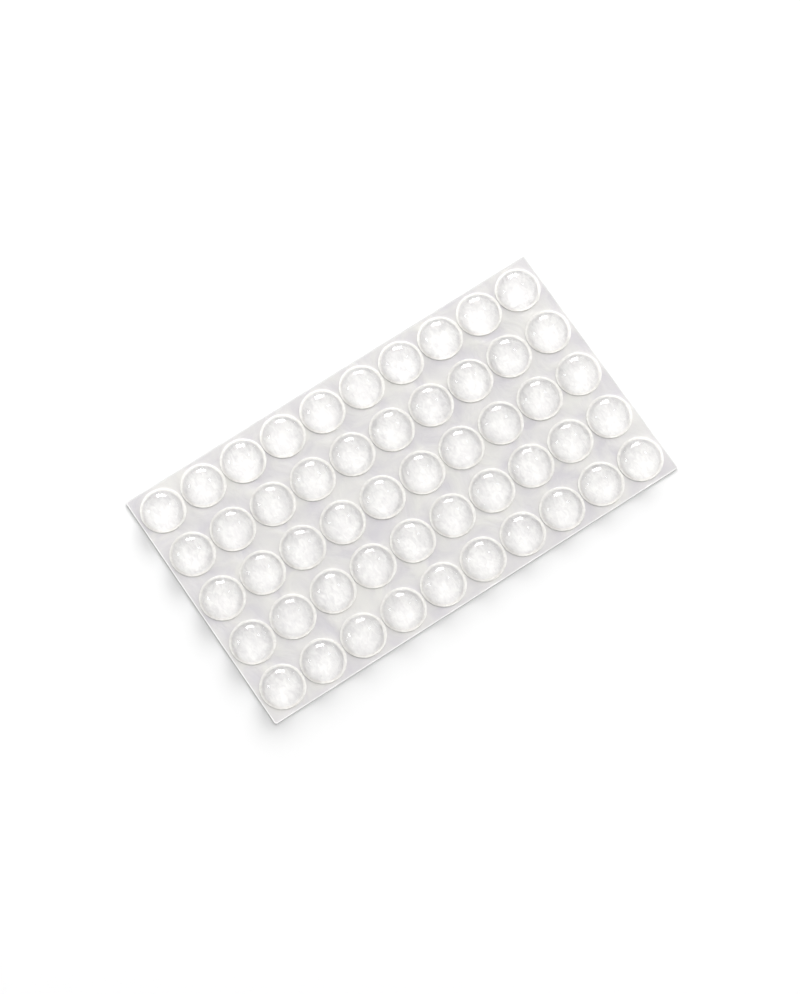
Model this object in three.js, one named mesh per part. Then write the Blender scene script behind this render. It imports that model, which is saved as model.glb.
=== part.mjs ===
// A sheet of clear self-adhesive door bumpers: ten columns by five rows of soft
// domes, each with a flat brim round its foot, stuck to one translucent liner.
//
// Millimetres, +Z up. The origin is under the middle of the liner, on the
// surface that the sheet lies on. +X runs along the sheet's long side.

import * as THREE from "three";

// Driving dimensions of one bumper
const DOME_RADIUS = 4.75; // a 3/8 inch dome
const BUMPER_HEIGHT = 3.8; // from the liner to the crown
const BRIM_WIDTH = 0.65; // how far the brim stands out past the dome
const BRIM_THICKNESS = 0.3; // moulded skin and its adhesive

// Driving dimensions of the sheet
const COLUMNS = 10;
const ROWS = 5;
const COLUMN_GAP = 0.1; // between neighbouring brims in a row
const ROW_GAP = 1.75; // between the brims of two rows
const END_BORDER = 0.7; // bare liner past the first and last column
const SIDE_BORDER = 1.05; // bare liner past the first and last row
const LINER_THICKNESS = 0.25;
const LINER_CORNER_RADIUS = 0.5;

// How finely the round forms are drawn
const TURN_STEPS = 16;
const CROWN_STEPS = 5;
const CORNER_STEPS = 4;

// Sizes that follow from the driving ones
const BRIM_RADIUS = DOME_RADIUS + BRIM_WIDTH;
const COLUMN_PITCH = 2 * BRIM_RADIUS + COLUMN_GAP;
const ROW_PITCH = 2 * BRIM_RADIUS + ROW_GAP;
const FIRST_COLUMN_X = (-(COLUMNS - 1) * COLUMN_PITCH) / 2;
const FIRST_ROW_Y = ((ROWS - 1) * ROW_PITCH) / 2;
const LINER_HALF_LENGTH = -FIRST_COLUMN_X + BRIM_RADIUS + END_BORDER;
const LINER_HALF_WIDTH = FIRST_ROW_Y + BRIM_RADIUS + SIDE_BORDER;

const clearRubber = new THREE.MeshStandardMaterial({
  name: "clear_rubber",
  color: 0xf7f8f6,
  roughness: 0.08,
  metalness: 0,
  transparent: true,
  opacity: 0.55,
});

const linerFilm = new THREE.MeshStandardMaterial({
  name: "liner_film",
  color: 0xe4e2e5,
  roughness: 0.4,
  metalness: 0,
});

// Half the section of one bumper: out along its flat foot, up the brim's cut
// edge, in along the brim to the crease, and over the dome to the crown. The
// dome is a quarter of an ellipse that leaves the crease upright.
function bumperSection() {
  const domeRise = BUMPER_HEIGHT - BRIM_THICKNESS;
  const foot = [new THREE.Vector2(0, 0), new THREE.Vector2(BRIM_RADIUS, 0)];
  const brimEdge = new THREE.Vector2(BRIM_RADIUS, BRIM_THICKNESS);
  const dome = new THREE.EllipseCurve(0, BRIM_THICKNESS, DOME_RADIUS, domeRise, 0, Math.PI / 2);
  const wall = dome.getPoints(CROWN_STEPS).slice(0, -1);
  const crown = new THREE.Vector2(0, BUMPER_HEIGHT);
  return [...foot, brimEdge, ...wall, crown];
}

// One dome and its brim, turned about +Z, with its foot at z = 0.
function bumperGeometry() {
  const turned = new THREE.LatheGeometry(bumperSection(), TURN_STEPS);
  return turned.rotateX(Math.PI / 2);
}

// The liner's outline: a rectangle with rounded corners.
function linerOutline() {
  const x = LINER_HALF_LENGTH;
  const y = LINER_HALF_WIDTH;
  const r = LINER_CORNER_RADIUS;
  const outline = new THREE.Shape();
  outline.moveTo(-x + r, -y);
  outline.lineTo(x - r, -y);
  outline.absarc(x - r, -y + r, r, -0.5 * Math.PI, 0, false);
  outline.lineTo(x, y - r);
  outline.absarc(x - r, y - r, r, 0, 0.5 * Math.PI, false);
  outline.lineTo(-x + r, y);
  outline.absarc(-x + r, y - r, r, 0.5 * Math.PI, Math.PI, false);
  outline.lineTo(-x, -y + r);
  outline.absarc(-x + r, -y + r, r, Math.PI, 1.5 * Math.PI, false);
  return outline;
}

function makeLiner() {
  const film = new THREE.ExtrudeGeometry(linerOutline(), {
    depth: LINER_THICKNESS,
    bevelEnabled: false,
    curveSegments: CORNER_STEPS,
  });
  const liner = new THREE.Mesh(film, linerFilm);
  liner.name = "liner";
  return liner;
}

// Every bumper is its own mesh, as each one peels off by itself.
function makeBumpers() {
  const geometry = bumperGeometry();
  const bumpers = new THREE.Group();
  for (let row = 0; row < ROWS; row++) {
    for (let column = 0; column < COLUMNS; column++) {
      const bumper = new THREE.Mesh(geometry, clearRubber);
      bumper.name = `bumper_row${row + 1}_col${String(column + 1).padStart(2, "0")}`;
      bumper.position.set(
        FIRST_COLUMN_X + column * COLUMN_PITCH,
        FIRST_ROW_Y - row * ROW_PITCH,
        LINER_THICKNESS,
      );
      bumpers.add(bumper);
    }
  }
  return bumpers;
}

const sheet = new THREE.Group();
sheet.name = "door_bumper_sheet";
sheet.add(makeLiner(), makeBumpers());

export default sheet;
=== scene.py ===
# %% [markdown]
# Clear door bumpers on their liner
#
# A cabinet door bumper is a soft clear dome with adhesive on its flat foot. It goes on the inner
# face of a door or drawer front and takes the knock when that shuts. The domes come stuck in
# straight rows on one thin sheet of release film, the liner, and each one peels off by itself.
#
# The CAD model gives the places and sizes, and this script gives the looks: clear rubber that
# bends light, a cloudy film of adhesive under it, and a thin milky liner.

# %% Load the frame
import math

import bmesh
import bpy
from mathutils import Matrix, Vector


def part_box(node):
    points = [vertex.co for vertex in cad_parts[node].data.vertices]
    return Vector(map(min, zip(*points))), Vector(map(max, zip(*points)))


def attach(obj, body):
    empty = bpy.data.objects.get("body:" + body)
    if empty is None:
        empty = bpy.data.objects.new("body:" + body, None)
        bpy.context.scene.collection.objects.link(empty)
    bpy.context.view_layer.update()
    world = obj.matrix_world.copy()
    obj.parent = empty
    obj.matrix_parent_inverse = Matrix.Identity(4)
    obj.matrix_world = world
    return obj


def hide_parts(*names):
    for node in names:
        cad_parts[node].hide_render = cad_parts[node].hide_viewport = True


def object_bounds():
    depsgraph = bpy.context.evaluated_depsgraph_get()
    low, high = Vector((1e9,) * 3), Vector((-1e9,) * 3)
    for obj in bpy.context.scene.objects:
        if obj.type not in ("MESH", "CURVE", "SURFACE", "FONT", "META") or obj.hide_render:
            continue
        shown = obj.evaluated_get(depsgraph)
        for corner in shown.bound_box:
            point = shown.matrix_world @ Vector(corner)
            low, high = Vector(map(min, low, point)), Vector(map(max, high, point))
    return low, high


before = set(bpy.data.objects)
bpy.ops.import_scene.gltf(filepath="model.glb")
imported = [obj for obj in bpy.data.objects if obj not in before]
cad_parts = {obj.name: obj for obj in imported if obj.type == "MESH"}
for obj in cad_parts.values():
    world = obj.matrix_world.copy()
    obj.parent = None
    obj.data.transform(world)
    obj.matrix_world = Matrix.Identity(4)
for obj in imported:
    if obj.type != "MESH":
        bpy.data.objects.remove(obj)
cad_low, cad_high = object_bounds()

MM = 0.001


def in_mm(lengths):
    """Lengths in millimetres, rounded for printing."""
    return [round(length / MM, 2) for length in lengths]


print("nodes:", len(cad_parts), " box in mm:", in_mm(cad_high - cad_low))

# %% [markdown]
# The camera stands where the photographer's did. The rows of domes run at a slant across the
# picture and hardly come closer together towards the top, so the view is a steep one from far
# away through a long lens. The focal length is kept in pixels of the photograph's frame, because
# that is how a lens is measured from a picture, and turned into millimetres for the camera.

# %% Camera
PHOTO_HEIGHT = 994
FOCAL_PIXELS = 3766
VIEW_AZIMUTH = math.radians(-33.62)
VIEW_ELEVATION = math.radians(71.22)
VIEW_DISTANCE = 863.65 * MM
VIEW_TARGET = Vector((-1.96, -2.01, 0.0)) * MM


def direction(azimuth, elevation):
    """The unit vector from the object towards a place at that azimuth and elevation."""
    level = math.cos(elevation)
    return Vector((math.sin(azimuth) * level, -math.cos(azimuth) * level, math.sin(elevation)))


def aim(thing, place, target):
    """Puts a camera or lamp at a place, looking at a target."""
    thing.location = place
    thing.rotation_euler = (target - place).to_track_quat("-Z", "Y").to_euler()


lens = bpy.data.cameras.new("photo_camera")
lens.sensor_fit = "VERTICAL"
lens.lens = lens.sensor_height * FOCAL_PIXELS / PHOTO_HEIGHT
lens.clip_start = 10 * MM
camera = bpy.data.objects.new("photo_camera", lens)
bpy.context.scene.collection.objects.link(camera)
aim(camera, VIEW_TARGET + VIEW_DISTANCE * direction(VIEW_AZIMUTH, VIEW_ELEVATION), VIEW_TARGET)
bpy.context.scene.camera = camera
print("lens in mm:", round(lens.lens, 1))

# %% [markdown]
# Materials are built from nodes, so four small helpers keep their code short. The first fills an
# input, with a plain value or with a link from another node. The others add a node, start a
# material with its main shader, and start a node group with named inputs and outputs.

# %% Helpers for nodes


def feed(tree, socket, value):
    """Fills an input with a value, or links another node's output to it."""
    if isinstance(value, bpy.types.NodeSocket):
        tree.links.new(value, socket)
    else:
        socket.default_value = value


def add_node(tree, kind, inputs=None, **settings):
    """Adds a node. Inputs, named or numbered, take a value or another node's output."""
    made = tree.nodes.new(kind)
    for name, value in settings.items():
        setattr(made, name, value)
    for name, value in (inputs or {}).items():
        feed(tree, made.inputs[name], value)
    return made


def new_material(name, **inputs):
    """A material with one Principled shader, whose inputs are given with _ for a space."""
    material = bpy.data.materials.new(name)
    material.use_nodes = True
    shader = material.node_tree.nodes["Principled BSDF"]
    for key, value in inputs.items():
        shader.inputs[key.replace("_", " ")].default_value = value
    return material, material.node_tree, shader


def new_group(name, kind, inputs, outputs):
    """A node group. Inputs are (name, type, default) and outputs (name, type)."""
    group = bpy.data.node_groups.new(name, kind)
    for label, socket_type, default in inputs:
        socket = group.interface.new_socket(
            label, in_out="INPUT", socket_type="NodeSocket" + socket_type
        )
        if default is not None:
            socket.default_value = default
    for label, socket_type in outputs:
        group.interface.new_socket(label, in_out="OUTPUT", socket_type="NodeSocket" + socket_type)
    start = add_node(group, "NodeGroupInput")
    end = add_node(group, "NodeGroupOutput")
    return group, start.outputs, end.inputs


# %% [markdown]
# Nothing on this product is one even colour. The adhesive has wetted the liner in streaks, the
# film is cloudier in some places than in others, and the moulded rubber has a faint ripple.
# These are all one kind of pattern at different scales, so one node group makes it: soft noise,
# with its middle range stretched to run from 0 to 1. It reads Object coordinates, which are
# metres here, and keeps still when the camera moves.

# %% The mottle that the materials share
NOISE_MIDDLE = 0.5  # the value that the noise swings about

mottle, mottle_in, mottle_out = new_group(
    "mottle",
    "ShaderNodeTree",
    [("Vector", "Vector", None), ("Patches per metre", "Vector", (100.0, 100.0, 100.0)),
     ("Detail", "Float", 2.0), ("Swirl", "Float", 0.0), ("Softness", "Float", 0.3)],
    [("Mask", "Float")],
)
mottle_place = add_node(
    mottle, "ShaderNodeVectorMath", {0: mottle_in["Vector"], 1: mottle_in["Patches per metre"]},
    operation="MULTIPLY",
)
mottle_noise = add_node(mottle, "ShaderNodeTexNoise", {
    "Vector": mottle_place.outputs[0],
    "Scale": 1.0,
    "Detail": mottle_in["Detail"],
    "Distortion": mottle_in["Swirl"],
})
middle_and_spread = {0: NOISE_MIDDLE, 1: mottle_in["Softness"]}
lower = add_node(mottle, "ShaderNodeMath", middle_and_spread, operation="SUBTRACT")
upper = add_node(mottle, "ShaderNodeMath", middle_and_spread, operation="ADD")
mottle_range = add_node(mottle, "ShaderNodeMapRange", {
    "Value": mottle_noise.outputs["Fac"],
    "From Min": lower.outputs[0],
    "From Max": upper.outputs[0],
})
mottle.links.new(mottle_range.outputs["Result"], mottle_out["Mask"])


def add_mottle(tree, patch, detail=2.0, swirl=0.0, softness=0.3):
    """The mottle's mask, placed in a material. A patch is as large as its X, Y and Z sizes."""
    coordinates = add_node(tree, "ShaderNodeTexCoord")
    placed = add_node(tree, "ShaderNodeGroup", {
        "Vector": coordinates.outputs["Object"],
        "Patches per metre": [1 / size for size in patch],
        "Detail": detail,
        "Swirl": swirl,
        "Softness": softness,
    }, node_tree=mottle)
    return placed.outputs["Mask"]


def mix_by(tree, mask, low, high, blend="MIX"):
    """A colour that goes from low to high with a mask. Each is a colour or a node's output."""
    mixed = add_node(tree, "ShaderNodeMix", data_type="RGBA", blend_type=blend)
    factor = next(socket for socket in mixed.inputs if socket.enabled and socket.type == "VALUE")
    feed(tree, factor, mask)
    colours = [socket for socket in mixed.inputs if socket.type == "RGBA"]
    for socket, value in zip(colours, (low, high)):
        feed(tree, socket, (*value, 1.0) if isinstance(value, tuple) else value)
    return next(socket for socket in mixed.outputs if socket.type == "RGBA")


def multiply(tree, first, second):
    """The product of two colours."""
    return mix_by(tree, 1.0, first, second, blend="MULTIPLY")


def range_by(tree, mask, low, high):
    """A number that goes from low to high with a mask."""
    ranged = add_node(tree, "ShaderNodeMapRange", {"Value": mask, "To Min": low, "To Max": high})
    return ranged.outputs["Result"]


print("mottle nodes:", len(mottle.nodes))

# %% [markdown]
# The rubber is clear and soft. It has to bend light as the real one does, because that is what
# makes the dark line round each dome, the bright foot and the lively highlights, so it is a
# transmitting shader on a closed mesh. Painting the line on would look right from one side
# only. Its roughness and its surface vary very slightly, as on anything moulded.

# %% Clear rubber
RUBBER_INDEX = 1.4

rubber, tree, shader = new_material(
    "clear_rubber",
    Base_Color=(0.997, 0.991, 0.981, 1.0),
    Transmission_Weight=1.0,
    IOR=RUBBER_INDEX,
)
ripple = add_mottle(tree, patch=[2.2 * MM] * 3, detail=1.0)
tree.links.new(range_by(tree, ripple, 0.01, 0.05), shader.inputs["Roughness"])
rubber_bump = add_node(tree, "ShaderNodeBump", {
    "Height": ripple, "Strength": 0.25, "Distance": 0.03 * MM,
})
tree.links.new(rubber_bump.outputs["Normal"], shader.inputs["Normal"])

# %% [markdown]
# The brim is an almost flat skin of the same rubber over its adhesive, and so thin that it looks
# like the adhesive: cream and nearly opaque, with a soft gloss. It draws the pale ring outside
# the dark line where each dome starts.

# %% Brim
brim, tree, shader = new_material("brim_film", IOR=RUBBER_INDEX)
brim_cloud = add_mottle(tree, patch=[0.8 * MM] * 3, detail=2.0, softness=0.25)
brim_colour = mix_by(tree, brim_cloud, (0.80, 0.785, 0.755), (0.88, 0.865, 0.84))
tree.links.new(brim_colour, shader.inputs["Base Color"])
tree.links.new(range_by(tree, brim_cloud, 0.2, 0.35), shader.inputs["Roughness"])

# %% [markdown]
# The adhesive is a film on each foot. It touches the rubber with no air between, so what is
# seen through the dome is the adhesive itself, lit by the light that the dome gathers. It is
# modelled as the finish of the foot's faces inside the clear mesh, and not as a second piece
# under it, because a gap of air there would make the foot a mirror. Slow clouds and fine
# swirling streaks run through it, and some bumpers are a shade greyer than others.

# %% Adhesive
adhesive, tree, shader = new_material("adhesive_film", Roughness=0.6)
streak = [0.7 * MM, 1.3 * MM, 1.0 * MM]
streaks = add_mottle(tree, patch=streak, detail=3.0, swirl=1.0, softness=0.2)
clouds = add_mottle(tree, patch=[3.2 * MM] * 3, detail=2.0, swirl=0.5, softness=0.14)
bumper_shade = add_node(tree, "ShaderNodeAttribute", attribute_name="shade")
film_colour = mix_by(tree, streaks, (0.84, 0.834, 0.838), (1.0, 0.997, 0.99))
cloud_colour = mix_by(tree, clouds, (0.93, 0.925, 0.93), (1.0, 1.0, 0.998))
shade_colour = mix_by(tree, bumper_shade.outputs["Fac"], (0.98, 0.98, 0.98), (1.0, 1.0, 0.996))
clouded_film = multiply(tree, film_colour, cloud_colour)
tree.links.new(multiply(tree, clouded_film, shade_colour), shader.inputs["Base Color"])

# %% [markdown]
# The liner is a milky plastic film, grey with a touch of lilac and a little creamier in places.
# It is smooth but not polished, and lies in slow waves too low to see as shape, which show where
# it shines.

# %% Liner film
liner_film, tree, shader = new_material("liner_film", IOR=1.5)
cloud = add_mottle(tree, patch=[7 * MM] * 3, detail=4.0, swirl=0.6, softness=0.16)
grain = add_mottle(tree, patch=[0.5 * MM] * 3, detail=2.0)
liner_colour = mix_by(tree, cloud, (0.67, 0.651, 0.676), (0.785, 0.775, 0.748))
tree.links.new(liner_colour, shader.inputs["Base Color"])
tree.links.new(range_by(tree, grain, 0.3, 0.42), shader.inputs["Roughness"])
waves = add_node(tree, "ShaderNodeBump", {"Height": cloud, "Strength": 0.5, "Distance": 0.2 * MM})
liner_bump = add_node(tree, "ShaderNodeBump", {
    "Height": grain, "Strength": 0.2, "Distance": 0.01 * MM, "Normal": waves.outputs["Normal"],
})
tree.links.new(liner_bump.outputs["Normal"], shader.inputs["Normal"])

# %% [markdown]
# Where the knife went through, the film is given a whiter colour. That is painted light: it stands
# in for the glow of light leaking out of the cut edge, which from the camera's side is the fine
# bright line along the two near edges.

# %% Cut edge of the liner
edge_glow_film, _, _ = new_material("edge_glow_film", Base_Color=(0.9, 0.895, 0.89, 1.0), Roughness=0.5)
print("materials:", [material.name for material in (rubber, brim, adhesive, liner_film, edge_glow_film)])

# %% [markdown]
# All the sizes of the sheet are read from the frame: where the liner's top is, how wide and
# high a bumper is, and how far apart they stand. Only what a box can't tell is written here.

# %% Sizes of the sheet
HAIR = 0.01 * MM  # keeps two faces that touch from being drawn at the same depth

liner_low, liner_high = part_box("liner")
bumper_nodes = sorted(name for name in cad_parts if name.startswith("bumper_row"))
places = [name[len("bumper_row"):].split("_col") for name in bumper_nodes]
rows = max(int(row) for row, column in places)
columns = max(int(column) for row, column in places)
first_low, first_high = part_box(bumper_nodes[0])
last_low, last_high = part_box(bumper_nodes[-1])
brim_radius = (first_high.x - first_low.x) / 2
bumper_height = first_high.z - first_low.z - HAIR
column_pitch = (last_low.x - first_low.x) / (columns - 1)
row_pitch = (first_low.y - last_low.y) / (rows - 1)
print("rows, columns:", rows, columns, " pitch in mm:", in_mm([column_pitch, row_pitch]))

# %% [markdown]
# Both shapes on the sheet are closed skins, and both can be drawn as a stack of rings, from the
# underside up. A ring of one point is a tip. Each band between two rings belongs to a part of
# the surface, and where two parts meet the edge is sharp. The part's number stays on the faces
# as an attribute, so that a material can be given to it later.

# %% Skins from rings


def skin(name, rings, parts):
    """A closed mesh through rings of points.

    The parts are those of the underside, of each band, and of the top.
    """
    body = bmesh.new()
    part_of = body.faces.layers.int.new("part")
    made = [[body.verts.new(point) for point in ring] for ring in rings]
    for below, above, part in zip(made, made[1:], parts[1:]):
        for step in range(max(len(below), len(above))):
            corners = [
                below[step % len(below)], below[(step + 1) % len(below)],
                above[(step + 1) % len(above)], above[step % len(above)],
            ]
            body.faces.new(list(dict.fromkeys(corners)))[part_of] = part
    for ring, part in ((made[0], parts[0]), (made[-1], parts[-1])):
        if len(ring) > 1:
            body.faces.new(ring)[part_of] = part
    bmesh.ops.recalc_face_normals(body, faces=body.faces)
    for face in body.faces:
        face.smooth = True
    for edge in body.edges:
        edge.smooth = len({face[part_of] for face in edge.link_faces}) == 1
    mesh = bpy.data.meshes.new(name)
    body.to_mesh(mesh)
    body.free()
    return mesh


def arc(centre, radii, start, end, steps):
    """Points of an ellipse's arc. Angles are in degrees, from the outward direction."""
    angles = [math.radians(start + (end - start) * step / steps) for step in range(steps + 1)]
    return [
        (centre[0] + radii[0] * math.cos(angle), centre[1] + radii[1] * math.sin(angle))
        for angle in angles
    ]


# %% [markdown]
# One bumper is a turned shape, so its rings are circles: out along the flat foot, up the cut edge
# of the brim, over its soft corner, in along the brim to a crisp crease, and over the dome. Next
# to the corner there is a ring of its own, so that the corner's shading doesn't spread over the
# brim. From there the brim dips by a hair towards the dome. The foot and the crown end in tips,
# so the mesh is closed and light can't leak into it.

# %% One bumper
DOME_RADIUS = 4.75 * MM
BRIM_THICKNESS = 0.3 * MM
BRIM_EDGE_ROUND = 0.06 * MM
BRIM_DIP = 0.04 * MM  # how much lower the brim's top is at the crease than at its edge
TURN_STEPS = 48
DOME_STEPS = 14
EDGE_STEPS = 3
BRIM_BANDS = 1 + EDGE_STEPS + 2  # up the cut edge, round its corner, and in along the top
DOME, BRIM, FOOT = range(3)


def turned_rings(section):
    """A circle for each point of a section, or one point where it lies on the axis."""
    angles = [2 * math.pi * step / TURN_STEPS for step in range(TURN_STEPS)]
    return [
        [(radius * math.cos(angle), radius * math.sin(angle), height) for angle in angles]
        if radius > 0 else [(0.0, 0.0, height)]
        for radius, height in section
    ]


foot_line = [(0.0, 0.0), (brim_radius, 0.0)]
edge_corner = arc(
    (brim_radius - BRIM_EDGE_ROUND, BRIM_THICKNESS - BRIM_EDGE_ROUND),
    (BRIM_EDGE_ROUND, BRIM_EDGE_ROUND), 0, 90, EDGE_STEPS,
)
brim_top = [(brim_radius - 2 * BRIM_EDGE_ROUND, BRIM_THICKNESS)]
crease = BRIM_THICKNESS - BRIM_DIP
dome_wall = arc((0.0, crease), (DOME_RADIUS, bumper_height - crease), 0, 90, DOME_STEPS)
crown = [(0.0, bumper_height)]
section = foot_line + edge_corner + brim_top + dome_wall[:-1] + crown
band_parts = [FOOT] + [BRIM] * BRIM_BANDS + [DOME] * DOME_STEPS
bumper_mesh = skin("one_bumper", turned_rings(section), [FOOT, *band_parts, DOME])
bumper_mesh.materials.append(rubber)
one_bumper = bpy.data.objects.new("one_bumper", bumper_mesh)
bpy.context.scene.collection.objects.link(one_bumper)
print("faces of one bumper:", len(bumper_mesh.polygons))

# %% [markdown]
# The rows are a pattern, so Geometry Nodes set them out: a grid of points, one bumper on each.
# No two mouldings are quite alike, so each is shrunk by a hair at random, and gets a random
# shade, kept as an attribute for its adhesive. Real copies are made at the end, and there the
# materials are set by the part of the skin that each face belongs to.

# %% The rows of bumpers
SIZE_DRAW, SHADE_DRAW = 1, 2

bumper_rows, rows_in, rows_out = new_group(
    "bumper_rows",
    "GeometryNodeTree",
    [("Bumper", "Object", None), ("Columns", "Int", 2), ("Rows", "Int", 2),
     ("Column Pitch", "Float", 0.01), ("Row Pitch", "Float", 0.01), ("Foot Height", "Float", 0.0),
     ("Least Size", "Float", 0.98), ("Seed", "Int", 0)],
    [("Geometry", "Geometry")],
)


def span(count, pitch):
    """The distance from the first to the last of some places."""
    gaps = add_node(bumper_rows, "ShaderNodeMath", {0: count, 1: 1.0}, operation="SUBTRACT")
    length = add_node(
        bumper_rows, "ShaderNodeMath", {0: gaps.outputs[0], 1: pitch}, operation="MULTIPLY"
    )
    return length.outputs[0]


def random_number(least, most, draw):
    """A random number for each bumper. The draw's number keeps one use apart from another."""
    seed = add_node(bumper_rows, "ShaderNodeMath", {0: rows_in["Seed"], 1: draw}, operation="ADD")
    made = add_node(bumper_rows, "FunctionNodeRandomValue", data_type="FLOAT")
    floats = [socket for socket in made.inputs if socket.type == "VALUE" and socket.enabled]
    for socket, value in zip(floats, (least, most)):
        feed(bumper_rows, socket, value)
    bumper_rows.links.new(seed.outputs[0], made.inputs["Seed"])
    return next(socket for socket in made.outputs if socket.type == "VALUE" and socket.enabled)


grid = add_node(bumper_rows, "GeometryNodeMeshGrid", {
    "Size X": span(rows_in["Columns"], rows_in["Column Pitch"]),
    "Size Y": span(rows_in["Rows"], rows_in["Row Pitch"]),
    "Vertices X": rows_in["Columns"],
    "Vertices Y": rows_in["Rows"],
})
lift = add_node(bumper_rows, "ShaderNodeCombineXYZ", {"Z": rows_in["Foot Height"]})
raised = add_node(bumper_rows, "GeometryNodeSetPosition", {
    "Geometry": grid.outputs["Mesh"], "Offset": lift.outputs[0],
})
source = add_node(bumper_rows, "GeometryNodeObjectInfo", {"Object": rows_in["Bumper"]})
placed = add_node(bumper_rows, "GeometryNodeInstanceOnPoints", {
    "Points": raised.outputs["Geometry"],
    "Instance": source.outputs["Geometry"],
    "Scale": random_number(rows_in["Least Size"], 1.0, SIZE_DRAW),
})
shaded = add_node(bumper_rows, "GeometryNodeStoreNamedAttribute", {
    "Geometry": placed.outputs["Instances"],
    "Name": "shade",
    "Value": random_number(0.0, 1.0, SHADE_DRAW),
}, data_type="FLOAT", domain="INSTANCE")
finished = add_node(bumper_rows, "GeometryNodeRealizeInstances", {"Geometry": shaded.outputs[0]})
part_number = add_node(
    bumper_rows, "GeometryNodeInputNamedAttribute", {"Name": "part"}, data_type="INT"
)
for part, material in ((DOME, rubber), (BRIM, brim), (FOOT, adhesive)):
    is_part = add_node(bumper_rows, "FunctionNodeCompare", data_type="INT", operation="EQUAL")
    whole_numbers = [socket for socket in is_part.inputs if socket.enabled]
    bumper_rows.links.new(part_number.outputs["Attribute"], whole_numbers[0])
    whole_numbers[1].default_value = part
    finished = add_node(bumper_rows, "GeometryNodeSetMaterial", {
        "Geometry": finished.outputs[0], "Selection": is_part.outputs[0], "Material": material,
    })
bumper_rows.links.new(finished.outputs[0], rows_out["Geometry"])


def run_tree(name, tree_group, values):
    """Runs a geometry tree with its named inputs, and returns a plain mesh object."""
    holder = bpy.data.objects.new(name, bpy.data.meshes.new(name))
    bpy.context.scene.collection.objects.link(holder)
    modifier = holder.modifiers.new(name, "NODES")
    modifier.node_group = tree_group
    for item in tree_group.interface.items_tree:
        if item.in_out == "INPUT" and item.name in values:
            modifier[item.identifier] = values[item.name]
    bpy.context.view_layer.update()
    depsgraph = bpy.context.evaluated_depsgraph_get()
    result = bpy.data.meshes.new_from_object(holder.evaluated_get(depsgraph))
    holder.modifiers.clear()
    holder.data = result
    return holder


bumpers = run_tree("bumpers", bumper_rows, {
    "Bumper": one_bumper,
    "Columns": columns,
    "Rows": rows,
    "Column Pitch": column_pitch,
    "Row Pitch": row_pitch,
    "Foot Height": liner_high.z + HAIR,
    "Least Size": 0.985,
    "Seed": 7,
})
bpy.data.objects.remove(one_bumper)
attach(bumpers, "root")
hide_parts(*bumper_nodes)
print("bumpers:", len(bumpers.data.polygons), "faces,", len(bumpers.data.materials), "materials")

# %% [markdown]
# The liner is a rectangle with just-rounded corners. The knife that cut it pushed up a low burr
# all round. Its slope leans inwards, so along the near edges it faces the light from behind and
# is brightest there. The edge and the burr have a whiter colour, a painted glow of light leaking
# out at the cut, and the rest is plain film.

# %% Liner
CORNER_RADIUS = 0.5 * MM
CORNER_STEPS = 6
BURR_WIDTH = 0.25 * MM
BURR_HEIGHT = 0.05 * MM
UNDER, EDGE, BURR, TOP = range(4)
PLAIN_SLOT, EDGE_GLOW_SLOT = range(2)

liner_half = (liner_high - liner_low) / 2


def outline(inset, height):
    """The liner's outline, moved in by some distance, at a height."""
    radius = max(CORNER_RADIUS - inset, HAIR)
    corner_x = liner_half.x - inset - radius
    corner_y = liner_half.y - inset - radius
    points = []
    for quarter, (side_x, side_y) in enumerate(((1, 1), (-1, 1), (-1, -1), (1, -1))):
        centre = (side_x * corner_x, side_y * corner_y)
        start = 90 * quarter
        points += arc(centre, (radius, radius), start, start + 90, CORNER_STEPS)
    return [(x, y, height) for x, y in points]


liner_rings = [
    outline(0.0, liner_low.z),
    outline(0.0, liner_high.z + BURR_HEIGHT),
    outline(BURR_WIDTH, liner_high.z),
]
liner_mesh = skin("liner_sheet", liner_rings, [UNDER, EDGE, BURR, TOP])
liner_mesh.materials.append(liner_film)
liner_mesh.materials.append(edge_glow_film)
for face, part in zip(liner_mesh.polygons, liner_mesh.attributes["part"].data):
    # The edge and burr faces take the whiter film, a painted glow of light at the cut.
    face.material_index = EDGE_GLOW_SLOT if part.value in (EDGE, BURR) else PLAIN_SLOT
liner = bpy.data.objects.new("liner_sheet", liner_mesh)
bpy.context.scene.collection.objects.link(liner)
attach(liner, "root")
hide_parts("liner")
print("liner in mm:", in_mm(2 * liner_half))

# %% [markdown]
# The sheet lies on a plain pale table that runs off to all sides. The light from around and from
# the lamps behind adds up to white on it, and falls short of white where the sheet is in the way,
# so a soft shadow shows along the near edges.

# %% Floor
FLOOR_HALF = 4.0
FLOOR_GREY = 0.59

floor_mesh = bpy.data.meshes.new("floor")
floor_corners = [
    (side_x * FLOOR_HALF, side_y * FLOOR_HALF, cad_low.z - HAIR)
    for side_x, side_y in ((-1, -1), (1, -1), (1, 1), (-1, 1))
]
floor_mesh.from_pydata(floor_corners, [], [(0, 1, 2, 3)])
floor = bpy.data.objects.new("floor", floor_mesh)
bpy.context.scene.collection.objects.link(floor)
floor_paint, _, _ = new_material(
    "floor_paint",
    Base_Color=(FLOOR_GREY, FLOOR_GREY, FLOOR_GREY, 1.0),
    Roughness=0.9,
    Specular_IOR_Level=0.1,
)
floor_mesh.materials.append(floor_paint)
print("floor:", 2 * FLOOR_HALF, "m square, grey", FLOOR_GREY)

# %% [markdown]
# The room is a plain pale studio. Its walls are brightest low down behind the sheet, a little to
# the right, and fall off evenly to the opposite side. That makes the near side of every dome
# lighter than its far side.

# %% Studio walls
SKY_LEVEL = 0.25
SKY_BACK_LEVEL = 2.17
BACK_AZIMUTH = VIEW_AZIMUTH + math.radians(145)
BACK_ELEVATION = math.radians(-18)

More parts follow.
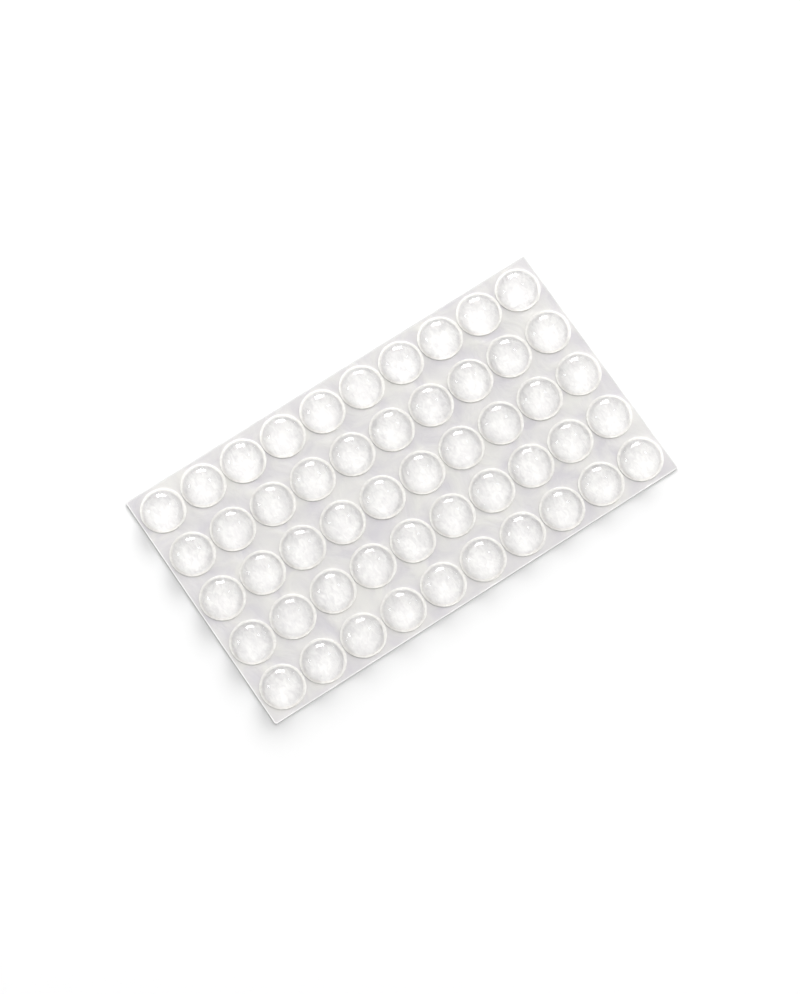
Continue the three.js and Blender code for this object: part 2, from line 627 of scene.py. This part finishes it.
world = bpy.data.worlds.new("studio")
bpy.context.scene.world = world
world.use_nodes = True
sky = world.node_tree
background = sky.nodes["Background"]
sky_place = add_node(sky, "ShaderNodeTexCoord")
sky_facing = add_node(
    sky, "ShaderNodeVectorMath",
    {0: sky_place.outputs["Generated"], 1: direction(BACK_AZIMUTH, BACK_ELEVATION)},
    operation="DOT_PRODUCT",
)
sky_light = add_node(sky, "ShaderNodeMapRange", {
    "Value": sky_facing.outputs["Value"],
    "From Min": -1.0,
    "To Min": SKY_LEVEL,
    "To Max": SKY_BACK_LEVEL,
})
sky.links.new(sky_light.outputs["Result"], background.inputs["Strength"])
background.inputs["Color"].default_value = (1.0, 1.0, 1.0, 1.0)
print("walls: light from", SKY_LEVEL, "to", SKY_BACK_LEVEL)

# %% [markdown]
# A window behind puts the long highlight on each dome, and two small lamps give it its sparks.
#
# Light linking keeps the rest apart. The window leaves the liner alone, where it would only
# shine. A low lamp further back lights the table and nothing else. The rows of domes keep it off
# the table along the near edges. It doesn't shine through them, because the spots of light that
# they would focus there break up the shadow.

# %% Lamps


def add_lamp(name, azimuth, elevation, size, power, distance=1.0, lit=()):
    """A soft box aimed at the sheet, that lights everything or only some things.

    Azimuths are counted from the camera's, in degrees. A size is a width and a height.
    """
    place = distance * direction(VIEW_AZIMUTH + math.radians(azimuth), math.radians(elevation))
    data = bpy.data.lights.new(name, "AREA")
    data.shape = "RECTANGLE"
    data.size, data.size_y = size
    data.energy = power
    lamp = bpy.data.objects.new(name, data)
    bpy.context.scene.collection.objects.link(lamp)
    aim(lamp, place, Vector((0.0, 0.0, 0.0)))
    lamp.visible_camera = False
    if lit:
        lamp.light_linking.receiver_collection = bpy.data.collections.new(name)
        for thing in lit:
            lamp.light_linking.receiver_collection.objects.link(thing)
    return lamp


window = add_lamp(
    "window", azimuth=192, elevation=11, size=(0.5, 0.46), power=11.0, lit=[bumpers, floor]
)
left_lamp = add_lamp("left_lamp", azimuth=-92, elevation=20, size=(0.2, 0.2), power=1.26)
right_lamp = add_lamp("right_lamp", azimuth=140, elevation=53, size=(0.15, 0.15), power=0.57)
table_lamp = add_lamp(
    "table_lamp", azimuth=161, elevation=20, size=(1.2, 0.64), power=60.0, distance=2.0, lit=[floor]
)
table_lamp.visible_transmission = False
bpy.context.scene.view_settings.view_transform = "Standard"
print("lamps:", [lamp.name for lamp in (window, left_lamp, right_lamp, table_lamp)])
